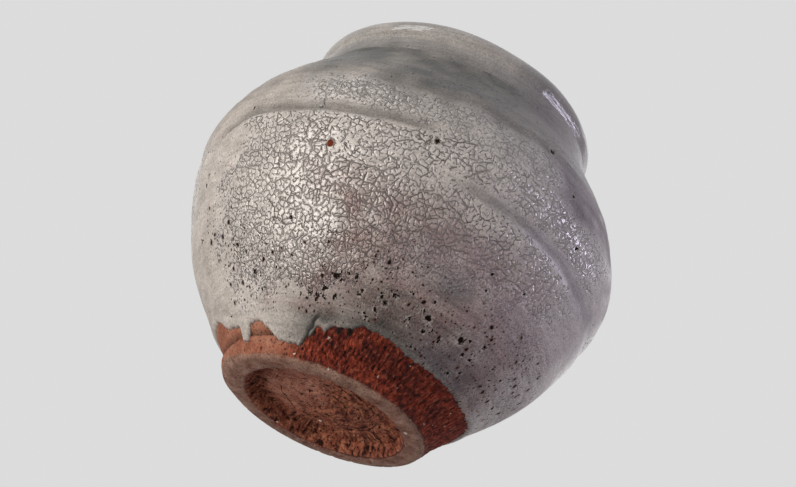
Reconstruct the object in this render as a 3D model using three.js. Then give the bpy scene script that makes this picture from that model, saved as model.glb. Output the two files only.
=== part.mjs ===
// Lidded stoneware water jar, standing upright on its foot ring.
// Millimetres, +Z up, origin on the floor at the middle of the foot, front of the jar towards -Y.

import * as THREE from 'three';

// Foot and floor of the jar
const footRadius = 46.5;
const footRingWidth = 10.5;
const footSplay = 4;
const footHeight = 9;
const footEdgeRound = 1.6;
const recessSlope = 1.8;
const bossDrop = 2.5;
const baseThickness = 6.7;

// Outside of the clay wall: its height to the rim, then the rise to each station and the radius there
const rimHeight = 170;
const heelRise = 13;
const heelFlare = 11;
const flankRise = 26;
const flankInset = 16.3;
const bellyRadius = 98.7;
const shoulderRise = 26;
const shoulderInset = 5.1;
const collarRise = 22;
const collarSpread = 11.1;
const neckRise = 14.5;
const neckRadius = 67.9;
const lipRise = 11.5;
const lipFlare = 1.3;
const lipCrown = 6;

// Thickness of the clay, of the glaze on it, and the joint between any two pieces
const wall = 6.5;
const neckWall = 6.9;
const coat = 1;
const gap = 0.3;

// Lower edge of the glaze: its mean height on the wall, how far it leans and the one long run
const glazeEdge = 15;
const glazeEdgeLean = 3;
const glazeEdgeWave = 1.2;
const glazeRun = 7;
const glazeRunAngle = THREE.MathUtils.degToRad(-29);
const glazeRunWidth = THREE.MathUtils.degToRad(9);

// Lid that drops into the mouth onto a ledge
const lidDepth = 13;
const ledgeHeight = 6;
const ledgeWidth = 7.2;
const lidClearance = 1.2;
const lidEdge = 5;
const lidDome = 3;
const lidBareRim = 1.5;
const knobStemRadius = 8;
const knobRadius = 12.5;
const knobStemRise = 3;
const knobSwellRise = 6;
const knobCrown = 6;

// Facets round the axis and rows up each stretch of wall
const facets = 40;
const knobFacets = 24;
const footRows = 2;
const lowerRows = 7;
const upperRows = 5;
const collarRows = 3;
const lipRows = 3;
const crownRows = 6;
const domeRows = 4;
const edgeRows = 3;

// Heights that follow, up from the floor to the flank and down from the rim to the belly
const baseUnder = footHeight + gap;
const baseTop = baseUnder + baseThickness;
const heelHeight = footHeight + heelRise;
const flankHeight = heelHeight + flankRise;
const lipHeight = rimHeight - lipCrown;
const neckHeight = lipHeight - lipRise;
const collarHeight = neckHeight - neckRise;
const shoulderHeight = collarHeight - collarRise;
const bellyHeight = shoulderHeight - shoulderRise;
const ledgeTop = rimHeight - lidDepth;
const ledgeUnder = ledgeTop - ledgeHeight;

// Radii that follow from the driving ones
const footTopRadius = footRadius + footSplay;
const footBore = footRadius - footRingWidth;
const mouthRadius = neckRadius - neckWall;
const lidRadius = mouthRadius - gap - coat - lidClearance;

// Stations of the outside, as radius and height, joined by a smooth curve
const stations = [
  new THREE.Vector2(footRadius, footEdgeRound),
  new THREE.Vector2(footTopRadius, footHeight),
  new THREE.Vector2(footTopRadius + heelFlare, heelHeight),
  new THREE.Vector2(bellyRadius - flankInset, flankHeight),
  new THREE.Vector2(bellyRadius, bellyHeight),
  new THREE.Vector2(bellyRadius - shoulderInset, shoulderHeight),
  new THREE.Vector2(neckRadius + collarSpread, collarHeight),
  new THREE.Vector2(neckRadius, neckHeight),
  new THREE.Vector2(neckRadius + lipFlare, lipHeight),
];

// Lean of the curve at a station, from its neighbours
function stationSlope(i) {
  const before = stations[Math.max(i - 1, 0)];
  const after = stations[Math.min(i + 1, stations.length - 1)];
  return (after.x - before.x) / (after.y - before.y);
}

// Radius of the clay's outside at a height
function outsideAt(z) {
  let i = 0;
  while (i < stations.length - 2 && z > stations[i + 1].y) i += 1;
  const low = stations[i];
  const high = stations[i + 1];
  const rise = high.y - low.y;
  const t = (z - low.y) / rise;
  const fromLow = (2 * t - 3) * t * t + 1;
  const leanLow = ((t - 2) * t + 1) * t * rise * stationSlope(i);
  const leanHigh = (t - 1) * t * t * rise * stationSlope(i + 1);
  return fromLow * low.x + (1 - fromLow) * high.x + leanLow + leanHigh;
}

// Level distance through a layer of unit thickness that leans as the wall does at a height
function levelAcross(z) {
  const step = 0.01;
  const slope = (outsideAt(z + step) - outsideAt(z - step)) / (2 * step);
  return Math.hypot(1, slope);
}

// Radius of a surface that lies a given distance outside the clay, or inside where it is negative
function layerAt(z, distance) {
  return outsideAt(z) + distance * levelAcross(z);
}

// Radius of the clay's inside at a height, straight in the mouth
function insideAt(z) {
  if (z <= collarHeight) return layerAt(z, -wall);
  const t = Math.min((z - collarHeight) / Math.max(ledgeUnder - collarHeight, gap), 1);
  return THREE.MathUtils.lerp(layerAt(collarHeight, -wall), mouthRadius, t);
}

// Evenly spaced heights from one to another, both included
function heights(from, to, rows) {
  return Array.from({ length: rows + 1 }, (_, i) => THREE.MathUtils.lerp(from, to, i / rows));
}

// Points of a surface at the given heights
function surface(levels, radiusAt) {
  return levels.map((z) => new THREE.Vector2(radiusAt(z), z));
}

// Turns an outline, given anticlockwise as radius and height, about the jar's axis
function turned(outline, segments = facets) {
  const closed = outline[0].x > 0 ? [...outline, outline[0].clone()] : outline;
  const solid = new THREE.LatheGeometry(closed, segments);
  return solid.rotateX(Math.PI / 2);
}

// Sweeps an outline that changes with the angle from the front once round the jar's axis
function swept(outlineAt) {
  const angles = Array.from({ length: facets }, (_, i) => ((i / facets) * 2 - 1) * Math.PI);
  const outlines = angles.map(outlineAt);
  const rows = outlines[0].length;
  const positions = outlines.flatMap((outline, i) => {
    const across = Math.sin(angles[i]);
    const forward = -Math.cos(angles[i]);
    return outline.flatMap((p) => [p.x * across, p.x * forward, p.y]);
  });
  const indices = [];
  for (let i = 0; i < facets; i += 1) {
    const here = i * rows;
    const beside = ((i + 1) % facets) * rows;
    for (let j = 0; j < rows; j += 1) {
      const above = (j + 1) % rows;
      indices.push(here + j, beside + j, here + above);
      indices.push(beside + above, here + above, beside + j);
    }
  }
  const solid = new THREE.BufferGeometry();
  solid.setAttribute('position', new THREE.Float32BufferAttribute(positions, 3));
  solid.setIndex(indices);
  solid.computeVertexNormals();
  return solid;
}

function piece(name, geometry, color, roughness) {
  const material = new THREE.MeshStandardMaterial({ color, roughness, metalness: 0 });
  const mesh = new THREE.Mesh(geometry, material);
  mesh.name = name;
  return mesh;
}

const redClay = 0x8a4a36;
const footClay = 0x7d695c;
const glazeGrey = 0xb9b4ad;

// Levels shared by the wall and by the glaze on both of its sides
const lowerLevels = heights(baseTop + gap, bellyHeight, lowerRows);
const upperLevels = heights(bellyHeight + gap, collarHeight, upperRows);
const collarLevels = heights(collarHeight + gap, neckHeight, collarRows);
const lipLevels = heights(neckHeight + gap, lipHeight, lipRows);

// Foot ring, turned with a rounded tread and a sloping inner face
function footRing() {
  const outer = footRadius - footEdgeRound;
  const inner = footBore + footEdgeRound;
  return turned([
    new THREE.Vector2(inner, 0),
    new THREE.Vector2(outer, 0),
    ...surface(heights(footEdgeRound, footHeight, footRows), outsideAt),
    new THREE.Vector2(footBore - recessSlope, footHeight),
    new THREE.Vector2(footBore, footEdgeRound),
  ]);
}

// Base disc, lying on the foot ring with a shallow boss inside it
function baseDisc() {
  const boss = footBore - recessSlope - gap;
  const bossUnder = baseUnder - bossDrop;
  return turned([
    new THREE.Vector2(0, bossUnder),
    new THREE.Vector2(boss, bossUnder),
    new THREE.Vector2(boss, baseUnder),
    new THREE.Vector2(outsideAt(baseUnder), baseUnder),
    new THREE.Vector2(outsideAt(baseTop), baseTop),
    new THREE.Vector2(0, baseTop),
  ]);
}

// One thrown length of wall between its outside and its inside
function wallSection(levels) {
  const inner = surface(levels, insideAt).reverse();
  return turned([...surface(levels, outsideAt), ...inner]);
}

// Crest of the lip, as a half ellipse from the outside over to the mouth
function crest(distance) {
  const outer = outsideAt(lipHeight) + distance;
  const inner = mouthRadius - distance;
  const arch = new THREE.EllipseCurve(
    (outer + inner) / 2, lipHeight, (outer - inner) / 2, lipCrown + distance, 0, Math.PI,
  );
  return arch.getPoints(crownRows);
}

// Lip, rolled over at the top of the neck
function rimLip() {
  const outer = surface(lipLevels.slice(0, -1), outsideAt);
  return turned([...outer, ...crest(0), new THREE.Vector2(mouthRadius, lipLevels[0])]);
}

// Ledge in the mouth that carries the lid
function lidLedge() {
  const outer = mouthRadius - gap;
  const inner = mouthRadius - ledgeWidth;
  return turned([
    new THREE.Vector2(inner, ledgeUnder),
    new THREE.Vector2(outer, ledgeUnder),
    new THREE.Vector2(outer, ledgeTop),
    new THREE.Vector2(inner, ledgeTop),
  ]);
}

// Height of the glaze's lower edge at an angle from the front, positive to the right
function glazeEdgeAt(angle) {
  const run = Math.exp(-(((angle - glazeRunAngle) / glazeRunWidth) ** 2));
  const lean = glazeEdgeLean * Math.sin(angle);
  const wave = glazeEdgeWave * Math.cos(3 * angle);
  return glazeEdge + lean + wave - glazeRun * run;
}

// Glaze on the outside, over the lip and down to the ledge. Its lowest rows follow its uneven edge.
function outerGlaze() {
  const edgeTop = heelHeight + gap;
  const under = ledgeTop + gap;
  const wallLevels = [lowerLevels, upperLevels.slice(1), collarLevels.slice(1), lipLevels.slice(1)].flat();
  const fixedLevels = wallLevels.filter((z) => z > edgeTop + gap && z < lipHeight);
  const outerFace = (z) => layerAt(z, gap + coat);
  const innerFace = (z) => layerAt(z, gap);
  return swept((angle) => {
    const levels = [...heights(glazeEdgeAt(angle), edgeTop, edgeRows), ...fixedLevels];
    return [
      ...surface(levels, outerFace),
      ...crest(gap + coat),
      new THREE.Vector2(mouthRadius - gap - coat, under),
      new THREE.Vector2(mouthRadius - gap, under),
      ...crest(gap).reverse(),
      ...surface(levels, innerFace).reverse(),
    ];
  });
}

// Glaze on the inside, from the floor of the jar up to the ledge
function innerGlaze() {
  const wallLevels = [...lowerLevels.slice(1), ...upperLevels.slice(1), ...collarLevels.slice(1)];
  const top = ledgeUnder - gap;
  const levels = [...wallLevels.filter((z) => z < top - gap), top];
  const clay = (z) => insideAt(z) - gap * levelAcross(z);
  const skin = (z) => insideAt(z) - (gap + coat) * levelAcross(z);
  const floor = baseTop + gap;
  const inFloor = floor + coat;
  return turned([
    new THREE.Vector2(0, floor),
    new THREE.Vector2(clay(floor), floor),
    ...surface(levels, clay),
    ...surface(levels, skin).reverse(),
    new THREE.Vector2(skin(inFloor), inFloor),
    new THREE.Vector2(0, inFloor),
  ]);
}

// Domed top of the lid disc from one radius to another, raised by a distance
function lidCrown(distance, from, to) {
  const radii = heights(from, to, domeRows);
  const base = ledgeTop + gap + lidEdge + distance;
  return radii.map((r) => new THREE.Vector2(r, base + lidDome * (1 - (r / lidRadius) ** 2)));
}

const knobFoot = ledgeTop + gap + lidEdge + lidDome + gap;

function lidDisc() {
  const under = ledgeTop + gap;
  return turned([
    new THREE.Vector2(0, under),
    new THREE.Vector2(lidRadius, under),
    ...lidCrown(0, lidRadius, 0),
  ]);
}

// Glaze on the lid, from its bare rim in to the stem of the knob
function lidGlaze() {
  const rim = lidRadius - lidBareRim;
  const hole = knobStemRadius + gap;
  return turned([...lidCrown(gap, hole, rim), ...lidCrown(gap + coat, rim, hole)]);
}

// Points along a curve, moved out square to it by a distance
function besideCurve(curve, distance) {
  return heights(0, 1, crownRows).map((t) => {
    const along = curve.getTangent(t);
    return curve.getPoint(t).add(new THREE.Vector2(along.y, -along.x).multiplyScalar(distance));
  });
}

// Knob from its stem out to its swell and over its crown, at a distance outside the clay
function knobSide(distance, from) {
  const stemTop = knobFoot + knobStemRise;
  const swell = stemTop + knobSwellRise;
  const middle = (stemTop + swell) / 2;
  const side = new THREE.CubicBezierCurve(
    new THREE.Vector2(knobStemRadius, stemTop),
    new THREE.Vector2(knobStemRadius, middle),
    new THREE.Vector2(knobRadius, middle),
    new THREE.Vector2(knobRadius, swell),
  );
  const crown = new THREE.EllipseCurve(
    0, swell, knobRadius + distance, knobCrown + distance, 0, Math.PI / 2,
  );
  const stem = new THREE.Vector2(knobStemRadius + distance, from);
  return [stem, ...besideCurve(side, distance).slice(0, -1), ...crown.getPoints(crownRows)];
}

// Sets the last point of an outline exactly on the axis
function onAxis(outline) {
  outline[outline.length - 1].x = 0;
  return outline;
}

function lidKnob() {
  const outline = [new THREE.Vector2(0, knobFoot), ...onAxis(knobSide(0, knobFoot))];
  return turned(outline, knobFacets);
}

// Glaze on the knob, down to the glaze on the lid
function knobGlaze() {
  const from = knobFoot + coat + gap;
  const inner = onAxis(knobSide(gap, from)).reverse();
  return turned([...inner, ...onAxis(knobSide(gap + coat, from))], knobFacets);
}

const jar = new THREE.Group();
jar.add(
  piece('foot_ring', footRing(), footClay, 0.85),
  piece('base_disc', baseDisc(), redClay, 0.95),
  piece('lower_wall', wallSection(lowerLevels), redClay, 0.95),
  piece('upper_wall', wallSection(upperLevels), redClay, 0.95),
  piece('neck_collar', wallSection(collarLevels), redClay, 0.95),
  piece('rim_lip', rimLip(), redClay, 0.95),
  piece('lid_ledge', lidLedge(), redClay, 0.95),
  piece('outer_glaze', outerGlaze(), glazeGrey, 0.35),
  piece('inner_glaze', innerGlaze(), glazeGrey, 0.35),
);

const lid = new THREE.Group();
lid.add(
  piece('lid_disc', lidDisc(), redClay, 0.95),
  piece('lid_glaze', lidGlaze(), glazeGrey, 0.35),
  piece('lid_knob', lidKnob(), redClay, 0.95),
  piece('knob_glaze', knobGlaze(), glazeGrey, 0.35),
);

const waterJar = new THREE.Group();
waterJar.add(jar, lid);

export default waterJar;
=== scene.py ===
import functools
import math
import bmesh
import bpy
import numpy as np
from mathutils import Matrix, Vector, noise


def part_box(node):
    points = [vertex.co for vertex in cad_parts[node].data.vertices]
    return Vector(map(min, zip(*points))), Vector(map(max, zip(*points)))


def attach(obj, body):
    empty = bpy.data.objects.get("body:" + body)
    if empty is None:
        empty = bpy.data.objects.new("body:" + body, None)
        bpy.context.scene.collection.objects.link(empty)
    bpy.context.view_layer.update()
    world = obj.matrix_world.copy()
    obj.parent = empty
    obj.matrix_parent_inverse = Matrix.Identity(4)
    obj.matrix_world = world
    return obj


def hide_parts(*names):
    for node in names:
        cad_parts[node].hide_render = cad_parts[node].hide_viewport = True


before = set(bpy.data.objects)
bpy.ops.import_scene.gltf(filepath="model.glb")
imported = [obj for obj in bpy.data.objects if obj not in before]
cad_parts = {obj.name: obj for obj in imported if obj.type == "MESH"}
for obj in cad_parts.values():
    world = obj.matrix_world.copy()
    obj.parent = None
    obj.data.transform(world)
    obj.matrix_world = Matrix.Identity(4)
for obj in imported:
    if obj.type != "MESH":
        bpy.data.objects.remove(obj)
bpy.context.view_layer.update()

# Foot ring: trimmed from the leather-hard jar on the wheel, left bare, and worn smooth on its tread.
# Tan stoneware. Its outer side starts the outside of the jar, which every piece above it follows.
# The stations give that outside as radius and height in millimetres, joined by a smooth curve.
mm = 0.001
foot_radius = 46.5
foot_bore = 36
foot_splay = 1.8
foot_edge_round = 1.6
foot_top = 9.15
foot_columns = 640
bare_girth = 52
station_radius = np.array([foot_radius, 50.5, 61.5, 82.4, 98.7, 93.6, 79.0, 67.9, 69.2])
station_height = np.array([foot_edge_round, 9, 22, 48, 90, 116, 138, 152.5, 164])
last_station = len(station_height) - 1
station_below = np.maximum(np.arange(last_station + 1) - 1, 0)
station_above = np.minimum(np.arange(last_station + 1) + 1, last_station)
station_lean = (station_radius[station_above] - station_radius[station_below]) / (
    station_height[station_above] - station_height[station_below])


def outside(z):
    """Radius of the turned clay at a height."""
    i = np.clip(np.searchsorted(station_height, z) - 1, 0, last_station - 1)
    rise = station_height[i + 1] - station_height[i]
    t = (z - station_height[i]) / rise
    low_share = (2 * t - 3) * t * t + 1
    low_lean = ((t - 2) * t + 1) * t * rise * station_lean[i]
    high_lean = (t - 1) * t * t * rise * station_lean[i + 1]
    return low_share * station_radius[i] + (1 - low_share) * station_radius[i + 1] + low_lean + high_lean


def line(start, end, step):
    """Points about a step apart on a straight line, without its last point."""
    count = max(1, round(math.dist(start, end) / step))
    return [tuple(np.array(start) + (np.array(end) - np.array(start)) * k / count) for k in range(count)]


def arc(r, z, size, start):
    """Five points on a quarter round about a middle, anticlockwise from an angle in degrees."""
    turned_by = np.radians(np.linspace(start, start + 90, 5))
    return list(zip(r + size * np.cos(turned_by), z + size * np.sin(turned_by)))


def turn(name, outline, columns, **marks):
    """Spins an outline of radius and height into a slice, then the slice round. Marks stay on its points."""
    slices = 16
    bm = bmesh.new()
    layers = {label: bm.verts.layers.float.new(label) for label in marks}
    points = [bm.verts.new((0, -r * mm, z * mm)) for r, z in outline]
    for label, values in marks.items():
        for point, value in zip(points, values):
            point[layers[label]] = value
    closing = [] if outline[0][0] == 0 else [points[0]]
    for a, b in zip(points, points[1:] + closing):
        bm.edges.new((a, b))
    bmesh.ops.spin(bm, geom=bm.verts[:] + bm.edges[:], cent=(0, 0, 0), axis=(0, 0, 1),
                   angle=math.tau / slices, steps=columns // slices, use_duplicate=False)
    bmesh.ops.spin(bm, geom=bm.verts[:] + bm.edges[:] + bm.faces[:], cent=(0, 0, 0), axis=(0, 0, 1),
                   angle=math.tau * (slices - 1) / slices, steps=slices - 1, use_duplicate=True)
    bmesh.ops.remove_doubles(bm, verts=bm.verts[:], dist=1e-6)
    bmesh.ops.recalc_face_normals(bm, faces=bm.faces[:])
    mesh = bpy.data.meshes.new(name)
    bm.to_mesh(mesh)
    bm.free()
    mesh.shade_smooth()
    piece = bpy.data.objects.new(name, mesh)
    bpy.context.scene.collection.objects.link(piece)
    return piece


def plan_of(angle, radius):
    """Where points at an angle from the front, right positive, and a radius lie in plan."""
    return radius * np.sin(angle), -radius * np.cos(angle)


def points_of(piece):
    """Angle, radius and height of a piece's points in millimetres."""
    flat = np.empty(len(piece.data.vertices) * 3)
    piece.data.vertices.foreach_get("co", flat)
    x, y, z = flat.reshape(-1, 3).T / mm
    return np.arctan2(x, -y), np.hypot(x, y), z


def place(piece, angle, radius, z):
    """Moves a piece's points to the given angle, radius and height."""
    flat = np.stack([*plan_of(angle, radius), z], 1) * mm
    piece.data.vertices.foreach_set("co", flat.ravel())
    piece.data.update()


def mark(piece, name, values):
    """Keeps a value on each point of a piece, for its material to read."""
    attribute = piece.data.attributes.get(name) or piece.data.attributes.new(name, "FLOAT", "POINT")
    attribute.data.foreach_set("value", np.asarray(values, np.float32))


def lumps(x, y, z, size):
    """Smooth noise from -1 to 1 at points in millimetres, with lumps of about the given size."""
    return np.fromiter((noise.noise(p) for p in zip(x / size, y / size, z / size)), float, len(x))


def ramp(value, low, high):
    """Goes smoothly from 0 at low to 1 at high."""
    t = np.clip((value - low) / (high - low), 0, 1)
    return t * t * (3 - 2 * t)


def window(value, low, low_full, high_full, high):
    """Rises from 0 to 1 between the first two values and falls back between the last two."""
    return ramp(value, low, low_full) * (1 - ramp(value, high_full, high))


def bell(value, middle, width):
    """Stands at 1 at the middle and falls away smoothly within about a width."""
    return np.exp(-((value - middle) / width) ** 2)


def crinkled(angle):
    """Share of the tearing round the wall: the clay was wiped smooth on the left of the front."""
    return 1 - window(np.degrees(angle), -130, -95, -42, -18)


def creased(angle, z):
    """Share of the crease that the trimming tool left above the foot, sharpest on the left."""
    return (1 - 0.7 * crinkled(angle)) * bell(z, 9.4, 1)


def torn_clay(angle, z):
    """How far the bare clay stands out: torn clumps that run up the wall, and the crease above the foot."""
    x, y = plan_of(angle, bare_girth)
    clumps = 1 - 2.4 * np.abs(lumps(x, y, z * 0.65, 1.5))
    tooth = lumps(x, y, z, 1.0)
    torn = ramp(z, 2.5, 5) * (0.15 + 0.85 * crinkled(angle))
    return torn * (0.75 * clumps + 0.3 * tooth) + 0.06 * tooth - 1.2 * creased(angle, z)


def linear(hex_colour):
    """Linear colour of an sRGB hex value."""
    srgb = [int(hex_colour[k:k + 2], 16) / 255 for k in (0, 2, 4)]
    return [c / 12.92 if c <= 0.04045 else ((c + 0.055) / 1.055) ** 2.4 for c in srgb] + [1]


def feed(node, *values, **named):
    """Feeds a node's open inputs in order, or by name: values, hex colours, sockets or nodes' results."""
    sockets = [socket for socket in node.inputs if socket.enabled][:len(values)]
    sockets += [node.inputs[name] for name in named]
    for socket, value in zip(sockets, [*values, *named.values()]):
        if isinstance(value, bpy.types.Node):
            value = next(result for result in value.outputs if result.enabled)
        if isinstance(value, bpy.types.NodeSocket):
            node.id_data.links.new(value, socket)
        else:
            socket.default_value = linear(value) if isinstance(value, str) else value


def add(material, kind, *values, **settings):
    """Adds a node with its settings to a material and feeds its open inputs in order."""
    made = material.node_tree.nodes.new("ShaderNode" + kind)
    for name, value in settings.items():
        setattr(made, name, value)
    feed(made, *values)
    return made


def per_metre(size_mm):
    """Texture scale whose grain has the given size in millimetres."""
    return 1 / (size_mm * mm)


def material_of(name):
    """A new material with its shader and the function that adds nodes to it."""
    material = bpy.data.materials.new(name)
    material.use_nodes = True
    return material, material.node_tree.nodes["Principled BSDF"], functools.partial(add, material)


def drawn_along(make, coords, girth, outward, upward):
    """Points for a torn grain: by their bearing on a girth, and by shares of their way outward and upward."""
    split = make("SeparateXYZ", coords)
    plan = make("CombineXYZ", split.outputs[0], split.outputs[1])
    bearing = make("VectorMath", plan, operation="NORMALIZE")
    around = make("VectorMath", bearing, girth * mm, operation="SCALE")
    raised = make("Math", split.outputs[2], upward, operation="MULTIPLY")
    out_by = make("VectorMath", plan, operation="LENGTH")
    climb = make("Math", out_by, outward, raised, operation="MULTIPLY_ADD")
    return make("VectorMath", around, make("CombineXYZ", 0, 0, climb), operation="ADD")


def blotched(make, coords, size, *tones):
    """A colour for each pair of a dark and a pale tone, mottled in blotches of a size."""
    blotch = make("TexNoise", coords, per_metre(size), 5, 0.65)
    share = make("MapRange", blotch, 0.38, 0.62)
    return [make("Mix", share, dark, pale, data_type="RGBA") for dark, pale in tones]


def grit_in(make, coords, spacing, least, largest, rough):
    """Where a grain of grit shows: grains lie a spacing apart, and those over the least size show."""
    grains = make("TexVoronoi", coords, per_metre(spacing))
    size = make("SeparateColor", grains.outputs["Color"])
    reach = make("MapRange", size, least, 1, 0, largest)
    edge = make("Math", reach, rough, operation="ADD")
    return make("Math", grains, edge, operation="LESS_THAN")


foot_outline = (
    line((foot_bore + foot_edge_round, 0), (foot_radius - foot_edge_round, 0), 0.5)
    + arc(foot_radius - foot_edge_round, foot_edge_round, foot_edge_round, -90)[:-1]
    + [(outside(z), z) for z in np.linspace(foot_edge_round, foot_top, 18)]
    + line((foot_bore - foot_splay, foot_top), (foot_bore, foot_edge_round), 0.5)
    + arc(foot_bore + foot_edge_round, foot_edge_round, foot_edge_round, 180)[:-1]
)
foot = turn("trimmed_foot", foot_outline, foot_columns)
angle, radius, z = points_of(foot)
degrees = np.degrees(angle)
x, y = plan_of(angle, radius)
outer_side = ramp(radius, 41, 46)
tread = 1 - ramp(z, 0.3, 2.5)
crown = (0.9 * np.maximum((radius - 42) / 5, 0) ** 2 + 0.4 * (1 - ramp(radius, 37, 38.4))) * tread
dents = np.clip(lumps(x, y, z, 3.2) - 0.2, 0, 1) * 0.6 + 0.12 * np.abs(lumps(x, y, z, 1.1))
swelling = 1.8 * window(degrees, -150, -105, -85, -55) * window(z, 0, 2, 5, 8.5)
uneven = 0.5 * lumps(x, y, z, 16) * ramp(z, 0, 3)
notches = 1.4 * np.abs(lumps(x, y, z * 0.7, 2.2)) + 0.8 * lumps(x, y, z, 4) - 0.3
radius = (radius + outer_side * (torn_clay(angle, z) + swelling + uneven)
          - (1 - outer_side) * notches * ramp(z, 0.2, 2))
place(foot, angle, radius, np.maximum(z + tread * dents + crown, 0))
worn_up = np.interp(degrees, [-180, -110, -75, -45, 60, 100, 180], [3.2, 3.2, 2.6, 0.8, 0.8, 2, 3.2])
worn_edge = z + 0.7 * lumps(x, y, z, 5) + 0.5 * lumps(x, y, z, 1.8) - worn_up * outer_side
mark(foot, "worn", (1 - ramp(worn_edge, -0.5, 1.2)) * ramp(radius + 0.4 * lumps(x, y, z, 2), 37, 37.8))
# Painted shade: the crease above the foot drawn dark
mark(foot, "burns_and_crease_shade", 0.5 * outer_side * creased(angle, z))
mark(foot, "tears", np.ones(len(z)))
mark(foot, "wiped", (1 - crinkled(angle)) * outer_side)

# Bare stoneware: fired red-brown, torn into crinkles that run up the wall, more orange where it was wiped,
# worn to a mottled tan on the tread, with dark pin marks and white grit. The hollows of the crinkles are
# painted dark as shade and their ridges painted light as a highlight.
worn_clay, shader, make = material_of("worn tan stoneware")
coords = make("TexCoord").outputs["Object"]
wiped, burns_and_crease_shade, worn = (make("Attribute", attribute_name=name).outputs["Fac"]
                      for name in ("wiped", "burns_and_crease_shade", "worn"))
along = drawn_along(make, coords, bare_girth, 0, 0.7)
crinkle = make("TexNoise", along, per_metre(1.25), 3, 0.6)
fine = make("TexNoise", coords, per_metre(0.9), 3, 0.7)
colour, wiped_tone, worn_tone = blotched(
    make, coords, 8, ("591d14", "903924"), ("8a523d", "ad7860"), ("7e5c4d", "a58473"))
# Painted highlight: the crinkles' ridges drawn lighter
painted_ridge_light = make("MapRange", crinkle, 0.54, 0.68, 0, 0.55)
# Painted shade: the crinkles' hollows drawn dark
torn_shade_from = make("MapRange", wiped, 0, 1, 0.52, 0.37)
painted_torn_shade = make("MapRange", crinkle, torn_shade_from, 0.35)
pins = make("MapRange", fine, 0.45, 0.32)
rough_edge = make("MapRange", fine, 0.35, 0.65, -0.05, 0.05)
grit = grit_in(make, coords, 5, 0.6, 0.17, rough_edge)
# The burns-and-crease mark paints the scorch marks, and shade in the crease above the foot
for share, tone in ((wiped, wiped_tone), (painted_ridge_light, "b4694e"), (painted_torn_shade, "240c08"), (worn, worn_tone),
                    (pins, "33190f"), (grit, "d8c4b2"), (burns_and_crease_shade, "17100c")):
    colour = make("Mix", share, colour, tone, data_type="RGBA")
torn_by = make("MapRange", wiped, 0, 1, 1, 0.25)
unworn = make("MapRange", worn, 0, 1, 1, 0)
torn_here = make("Math", torn_by, unworn, operation="MULTIPLY")
crinkle_rise = make("Math", crinkle, torn_here, operation="MULTIPLY")
rise = make("Math", fine, 0.4, crinkle_rise, operation="MULTIPLY_ADD")
crumble = make("Bump", 1, 1.7 * mm)
feed(crumble, Height=rise)
feed(shader, **{"Base Color": colour, "Normal": crumble, "Roughness": 0.85, "Specular IOR Level": 0.2})
foot.data.materials.append(worn_clay)
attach(foot, "jar")
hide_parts("foot_ring")

# Base disc: the floor of the jar, cut off the wheel and hollowed a little inside the foot with a loop tool.
# Coarse red stoneware. The tool dragged its grit, so the hollow is torn into fibres round a smoother middle.
# Its edge is the lower part of the bare band above the foot.
base_top = 16.15
boss_radius = 35.2
boss_under = 6.8
hollow_ceiling = 12
foot_dragged_to = 37.2
base_columns = 800


def rows(low, high, step):
    """Heights from low to high whose points lie about a step apart along the wall."""
    fine = np.linspace(low, high, 400)
    along = np.r_[0, np.cumsum(np.hypot(np.diff(fine), np.diff(outside(fine))))]
    return np.interp(np.linspace(0, along[-1], round(along[-1] / step) + 1), along, fine)


def burns(angle, z):
    """Scorched holes at the top of the bare band, and the stained clay under the low run of glaze."""
    degrees = np.degrees(angle)
    first = np.hypot((degrees + 8) / 1.5, (z - 15.6) / 2.6)
    second = np.hypot((degrees + 3.6) / 1.7, (z - 16.4) / 2.6)
    stain = 0.45 * window(degrees, -42, -34, -20, -14) * window(z, 2, 4, 8, 11)
    return np.maximum(1 - ramp(np.minimum(first, second), 0.6, 1.1), stain)


base_outline = (
    line((0, boss_under), (boss_radius, boss_under), 0.5)
    + line((boss_radius, boss_under), (boss_radius, foot_top), 1)
    + line((boss_radius, foot_top), (outside(foot_top) - 1, foot_top), 4)
    + [(outside(z), z) for z in rows(foot_top, base_top, 0.5)]
    + line((outside(base_top) - 1, base_top), (0, base_top), 8)
    + [(0, base_top)]
)
base = turn("torn_base", base_outline, base_columns)
angle, radius, z = points_of(base)
degrees = np.degrees(angle)
x, y = plan_of(angle, radius)
band = ramp(radius - outside(np.clip(z, foot_top, base_top)), -0.6, -0.1)
hollow = (1 - ramp(z, boss_under, boss_under + 0.3)) * (1 - ramp(radius, boss_radius - 0.3, boss_radius))
smoothed = window(degrees, -170, -120, -30, 5) * (1 - ramp(radius, 28, 33))
beside_wall = ramp(radius, 25, 35) * (1 - 0.9 * window(degrees, -165, -130, -50, -10))
ringed = window(degrees, -20, 20, 100, 130) * window(radius, 2, 6, 26, 31)
rings = 1 - 2.2 * np.abs(lumps(3 * np.sin(angle), 3 * np.cos(angle), radius - 1.5 * angle, 1.3))
tears = 1 - 2.2 * np.abs(lumps(33 * np.sin(angle), 33 * np.cos(angle), radius * 0.3, 1.9))
swirl = np.sin(radius * 1.1 - angle) * window(radius, 0, 3, 8, 16)
crumbs = (0.3 * lumps(x, y, z, 1.1) + 0.45 * lumps(x, y, z, 2.2)) * (1 - 0.7 * smoothed)
depth = (0.7 * rings * ringed + 1.0 * tears * ramp(radius, 25, 31) + 0.5 * swirl + crumbs
         - 1.4 * (1 - ramp(radius, 4, 26)) + 0.6 * lumps(x, y, z, 6)
         - (0.9 + 0.5 * lumps(x, y, z, 3)) * beside_wall)
place(base, angle, radius + band * torn_clay(angle, z), z + hollow * depth)
mark(base, "wiped", np.where(band > 0, 1 - crinkled(angle), smoothed))
mark(base, "tears", ramp(radius, 24, 30))
# Painted shade in the crease above the foot, with the scorched holes and the stain
mark(base, "burns_and_crease_shade", np.maximum(burns(angle, z), 0.5 * creased(angle, z)) * band)

# The foot's clay, as it is where nothing has worn it
red_clay = worn_clay.copy()
red_clay.name = "coarse red stoneware"
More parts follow.
